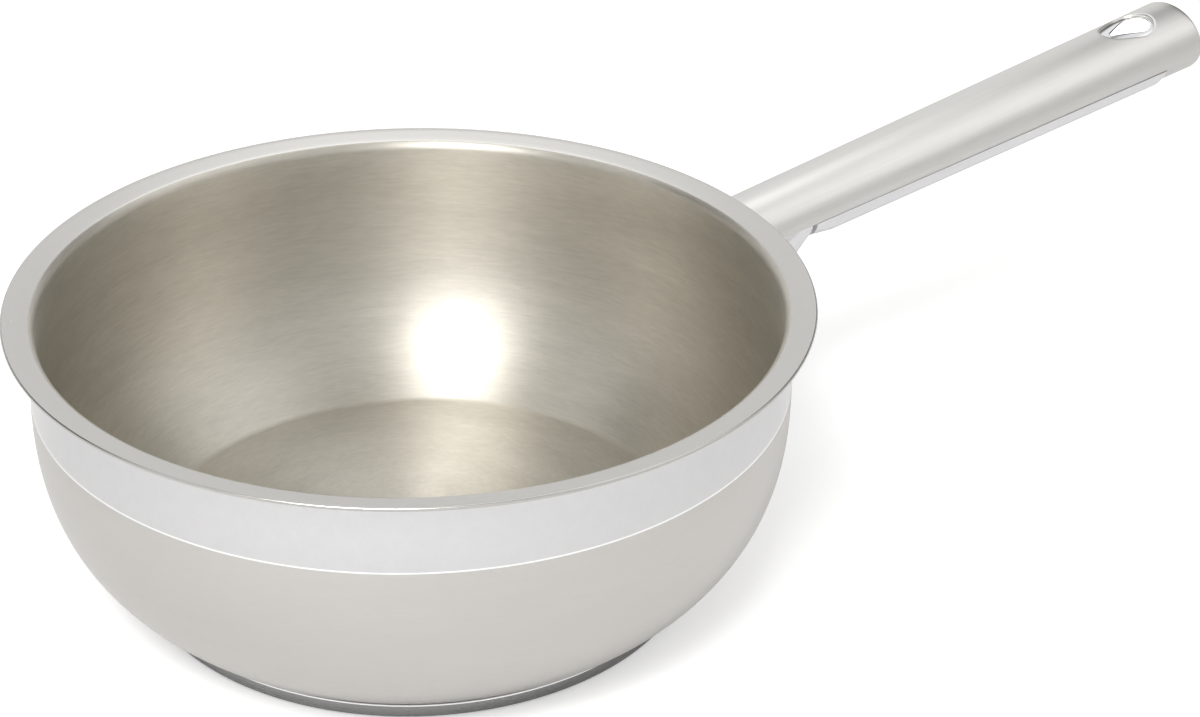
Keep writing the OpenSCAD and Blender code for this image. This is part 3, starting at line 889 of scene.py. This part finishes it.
# %% Close the tip and build the upper shell
def tip_underside(points, n):
    flat, angles = [], []
    for s in stations[stations.index(rear):]:
        a2 = seam_turn(s) - fold_a
        fade = max(0.0, 1 - (s - rear) / plate_slant)
        angles.append([a2 + 2 * (math.pi - a2) * i / lower_n for i in range(1, lower_n)])
        row = []
        for a in angles[-1]:
            y, z = shell_point(s, a)
            row.append((s - fade * slanted(s, z), y))
        flat.append(row)
    hidden = cut_drop(flat)
    more, faces, more_uv = [], [], []
    rings = []
    fold = [(0.0, shell_t), (0.0, 0.3), (0.25, 0.0)]
    first_full = len(fold) - 1
    for j, (on, inset) in enumerate(fold + [(0.0, 0.0)] * (len(flat) - 1)):
        step = max(0, j - first_full)
        left = (tip_row + step) * n + fold_n
        ring = [left + upper_n]
        for i, (s, y) in enumerate(flat[step]):
            k = tip_scale(s)
            z = -(half_h(s) - inset) * k * math.sqrt(max(0.0, 1 - (y / half_w(s) / k) ** 2))
            if angles[step][i] < math.pi / 2:
                z = -z
            ring.append(len(points) + len(more))
            more.append(placed(s + on, y, z))
            more_uv.append((i / lower_n, s / handle_l))
        rings.append(ring + [left])
    for j, (now, after) in enumerate(zip(rings, rings[1:])):
        for i in range(lower_n):
            if j >= first_full and (j - first_full, i - 1) in hidden:
                continue
            if j < first_full and i in (0, lower_n - 1):
                continue
            faces.append((now[i], now[i + 1], after[i + 1], after[i]))
    last = (len(shell_rows) - 1) * n + fold_n
    faces.append(list(range(last, last + upper_n + 1)) + rings[-1][1:-1])
    return more, faces, more_uv


upper_shell = sheet("handle_upper_shell", shell_rows, [brushed_handle], skip=skip_upper,
                    extra=(hole_patch, tip_underside))
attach(upper_shell, "root")
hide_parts("handle_shell")
print("upper shell:", len(upper_shell.data.polygons), "faces")

# %% [markdown]
# The underplate is the polished lower shell. It starts at the neck, sinks a little deeper
# than the tip behind it, and ends with a slanted edge. Its rim folds in by the sheet's
# thickness at both ends and along the seam.

# %% Build the underplate
plate_n, hole_near = 78, 190
plate_s = [neck_start + (plate_start - neck_start) * i / 6 for i in range(7)]
plate_s += [plate_start + (hole_near - plate_start) * i / 30 for i in range(1, 31)]
plate_s += [hole_near + (rear - hole_near) * i / 26 for i in range(1, 27)]
plate_flat = []
for s in plate_s:
    a1 = seam_turn(s, plate_sink(s)) + fold_a
    lean = max(0, (s - hole_near) / (rear - hole_near))
    row = []
    for i in range(plate_n + 1):
        a = a1 + 2 * (math.pi - a1) * i / plate_n
        z = (half_h(s) + plate_sink(s)) * math.cos(a)
        row.append((s - lean * slanted(s, z), half_w(s) * math.sin(a)))
    plate_flat.append(row)
plate_hidden = cut_drop(plate_flat)


def plate_point(s, y, inset=0.0):
    w, h = half_w(s) - inset, half_h(s) + plate_sink(s) - inset
    y *= w / half_w(s)
    return y, -h * math.sqrt(max(0.0, 1 - (y / w) ** 2))


def plate_row(flat, on, inset):
    row = [placed(s + on, *plate_point(s + on, y, inset)) for s, y in flat]
    top = [(shell_t, 0.05), (0.18, 0.05), (0.05, 0.1)]
    sides = []
    for side in (1, -1):
        s = flat[0][0] + on
        sides.append([placed(s, side * (half_w(s) - max(inset, d)), -seam(s) - drop)
                      for d, drop in top])
    return sides[0] + row + sides[1][::-1]


front_soft, rear_soft, turned_in = 0.1, 0.3, 6.0
first_flat, last_flat = plate_flat[0], plate_flat[-1]
plate_rows = [plate_row(first_flat, 0.0, shell_t), plate_row(first_flat, 0.0, front_soft),
              plate_row(first_flat, front_soft, 0.0)]
plate_rows += [plate_row(flat, 0.0, 0.0) for flat in plate_flat[1:-1]]
plate_rows += [plate_row(last_flat, -rear_soft, 0.0), plate_row(last_flat, 0.0, rear_soft),
               plate_row(last_flat, 0.0, shell_t), plate_row(last_flat, -turned_in, shell_t)]
underplate = sheet("handle_lower_shell", plate_rows, [polished_plate],
                   skip=lambda j, i: (j - 2, i - 3) in plate_hidden
                   or (j > len(plate_flat) and (len(plate_flat) - 2, i - 3) in plate_hidden))
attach(underplate, "root")
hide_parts("handle_underplate")
print("underplate:", len(underplate.data.polygons), "faces")

# %% [markdown]
# The bracket carries the handle. It is a trough inside the tube, comes out flush at the neck
# and flares to a wide mouth on the wall, where a rounded foot is welded to the bowl.

# %% Sweep the bracket's trough
bracket_in, bracket_t = shell_t + snug, 1.5
flare_side, flare_drop, tongue_l = 13.5, 28, 56
foot_w, foot_top, foot_low, foot_round = 58.0, -3.0, -44.2, 12.0


def flare(s, power=1.12, ease=0.25):
    g = max(0.0, 1 - s / neck_start) ** power
    return g * (1 - ease * g) / (1 - ease)


def trough_point(s, a, covered=False):
    deep = max(0.0, -math.cos(a))
    y = half_w(s) - bracket_in + flare_side * flare(s) * math.sqrt(deep)
    sink = plate_sink(s) + flare_drop * flare(s) + (0 if covered else bracket_in)
    return y * math.sin(a), (half_h(s) - bracket_in) * math.cos(a) - deep * sink


trough_n = 90
trough_a = [math.radians(a) for a in (78, 82, 86)]
trough_a += [math.pi / 2 * (2 - math.cos(math.pi * i / trough_n)) for i in range(trough_n + 1)]
trough_a += [math.radians(a) for a in (274, 278, 282)]
wall_s = [cope(*trough_point(0, a), bracket_t / 2) for a in trough_a]
trough_rows = []
flare_n = 40
for j in range(flare_n + 1):
    s = (neck_start - snug) * j / flare_n
    trough_rows.append([placed(s + start * (1 - j / flare_n), *trough_point(s, a))
                        for a, start in zip(trough_a, wall_s)])
for s in (neck_start + 1, plate_start, neck_start + tongue_l):
    trough_rows.append([placed(s, *trough_point(s, a, True)) for a in trough_a])
print("trough:", len(trough_rows), "rows of", len(trough_a), "points")

# %% [markdown]
# The foot is a rounded plate bent to the wall. Its rings shrink from the plate's outline to
# the middle, and every point stands on the bowl's radius at its own height, so the plate
# follows the wall wherever it lies.

# %% Lay the foot on the wall and build the bracket
def foot_pad(points, n, edge=0.5, count=120):
    low, high = handle_z + foot_low, handle_z + foot_top
    mid = (low + high) / 2
    outline = []
    for i in range(count):
        quarter, t = divmod(i, count // 4)
        a = math.pi / 2 * (quarter + t / (count // 4 - 1))
        side_y = 1 if quarter in (0, 3) else -1
        side_z = 1 if quarter in (0, 1) else -1
        outline.append((side_y * (foot_w / 2 - foot_round) + foot_round * math.cos(a),
                        side_z * ((high - low) / 2 - foot_round) + foot_round * math.sin(a)))
    more, faces, more_uv = [], [], []
    rings = [(1.0, 0.0, 0.0), (1.0, 0.0, bracket_t - edge)]
    rings += [(1.0, edge * (1 - math.cos(a)), bracket_t - edge + edge * math.sin(a))
              for a in (math.pi / 6, math.pi / 3, math.pi / 2)]
    rings += [(t, edge, bracket_t) for t in (0.96, 0.9, 0.8, 0.7, 0.6, 0.5, 0.4, 0.3, 0.2, 0.1)]
    for t, inward, out in rings:
        for y, z in outline:
            size = math.hypot(y, z)
            y2, z2 = (v * t * (1 - inward / size) for v in (y, z))
            r = bowl_r(mid + z2) + snug + out
            more.append((math.sqrt(r * r - y2 * y2), y2, mid + z2))
            more_uv.append((y2 / foot_w + 0.5, z2 / foot_w + 0.5))
    for j in range(len(rings) - 1):
        start = len(points) + j * count
        for i in range(count):
            a, b = start + i, start + (i + 1) % count
            faces.append((a, b, b + count, a + count))
    faces.append([len(points) + (len(rings) - 1) * count + i for i in range(count)])
    return more, faces, more_uv


bracket = sheet("flared_bracket", trough_rows, [polished_plate], extra=(foot_pad,))
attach(bracket, "root")
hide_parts("handle_bracket")
print("bracket:", len(bracket.data.polygons), "faces")

# %% [markdown]
# The hole's sleeve has a flange that lies under the upper shell, a drop-shaped mouth with a
# rounded edge, and a wall that runs down to the underside. The flange is polished like the
# underplate, and the wall takes a near-white finish with a painted glow.

# %% Build the hole's sleeve
def sleeve_row(loop, deeper, up):
    row = []
    for s, y in loop:
        deep = s < rear - slanted(rear, -half_h(rear))
        low = bottom_z(s, y, plate_drop if deep else 0.0)
        high = top_z(s, y, shell_t + snug)
        row.append(placed(s, y, (high - deeper) * up + (low + deeper) * (1 - up)))
    return row


count, wall_n = 160, 10
mouth_r, end_r, brim_w, turned_up = 0.6, 0.4, 1.4, 1.5
mouth, brim = drop_loop(count, mouth_r), opening_loop(count, brim_w)
sleeve_rows = [sleeve_row([(a[0] * t + b[0] * (1 - t), a[1] * t + b[1] * (1 - t))
                           for a, b in zip(mouth, brim)], 0.0, 1) for t in (0, 0.3, 0.6, 0.85)]
round_off = [math.pi / 2 * i / 6 for i in range(7)]
sleeve_rows += [sleeve_row(drop_loop(count, mouth_r * (1 - math.sin(a))),
                           mouth_r * (1 - math.cos(a)), 1) for a in round_off]
sleeve_rows += [sleeve_row(drop_loop(count), mouth_r, 1 - i / wall_n) for i in range(1, wall_n)]
sleeve_rows += [sleeve_row(drop_loop(count, end_r * (1 - math.cos(a))),
                           end_r * (1 - math.sin(a)), 0) for a in round_off]
sleeve_rows += [sleeve_row(drop_loop(count, liner_t), up, 0) for up in (0.0, turned_up)]
sleeve = sheet("hanging_hole_sleeve", sleeve_rows, [polished_plate, sleeve_painted_glow], closed=True,
               sharp=50)
flange_rings = 9
for face in sleeve.data.polygons:
    face.material_index = 1 if face.index >= flange_rings * count else 0
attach(sleeve, "root")
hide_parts("hang_hole_liner")
print("sleeve:", len(sleeve.data.polygons), "faces")

# %% [markdown]
# ## Core and welds
# The aluminium disc and the welds are small or hidden, and their CAD meshes are fine enough.
# They stay as they are and only get a finish.

# %% Give the CAD's own meshes their finishes
for name, mat in (("base_core", rolled_aluminium), ("root_weld", weld_metal),
                  ("seam_welds", weld_metal), ("foot_spot_welds", weld_metal),
                  ("tongue_spot_welds", weld_metal)):
    mesh = nodes[name].data
    mesh.materials.clear()
    mesh.materials.append(mat)
print("core and welds have their finishes")
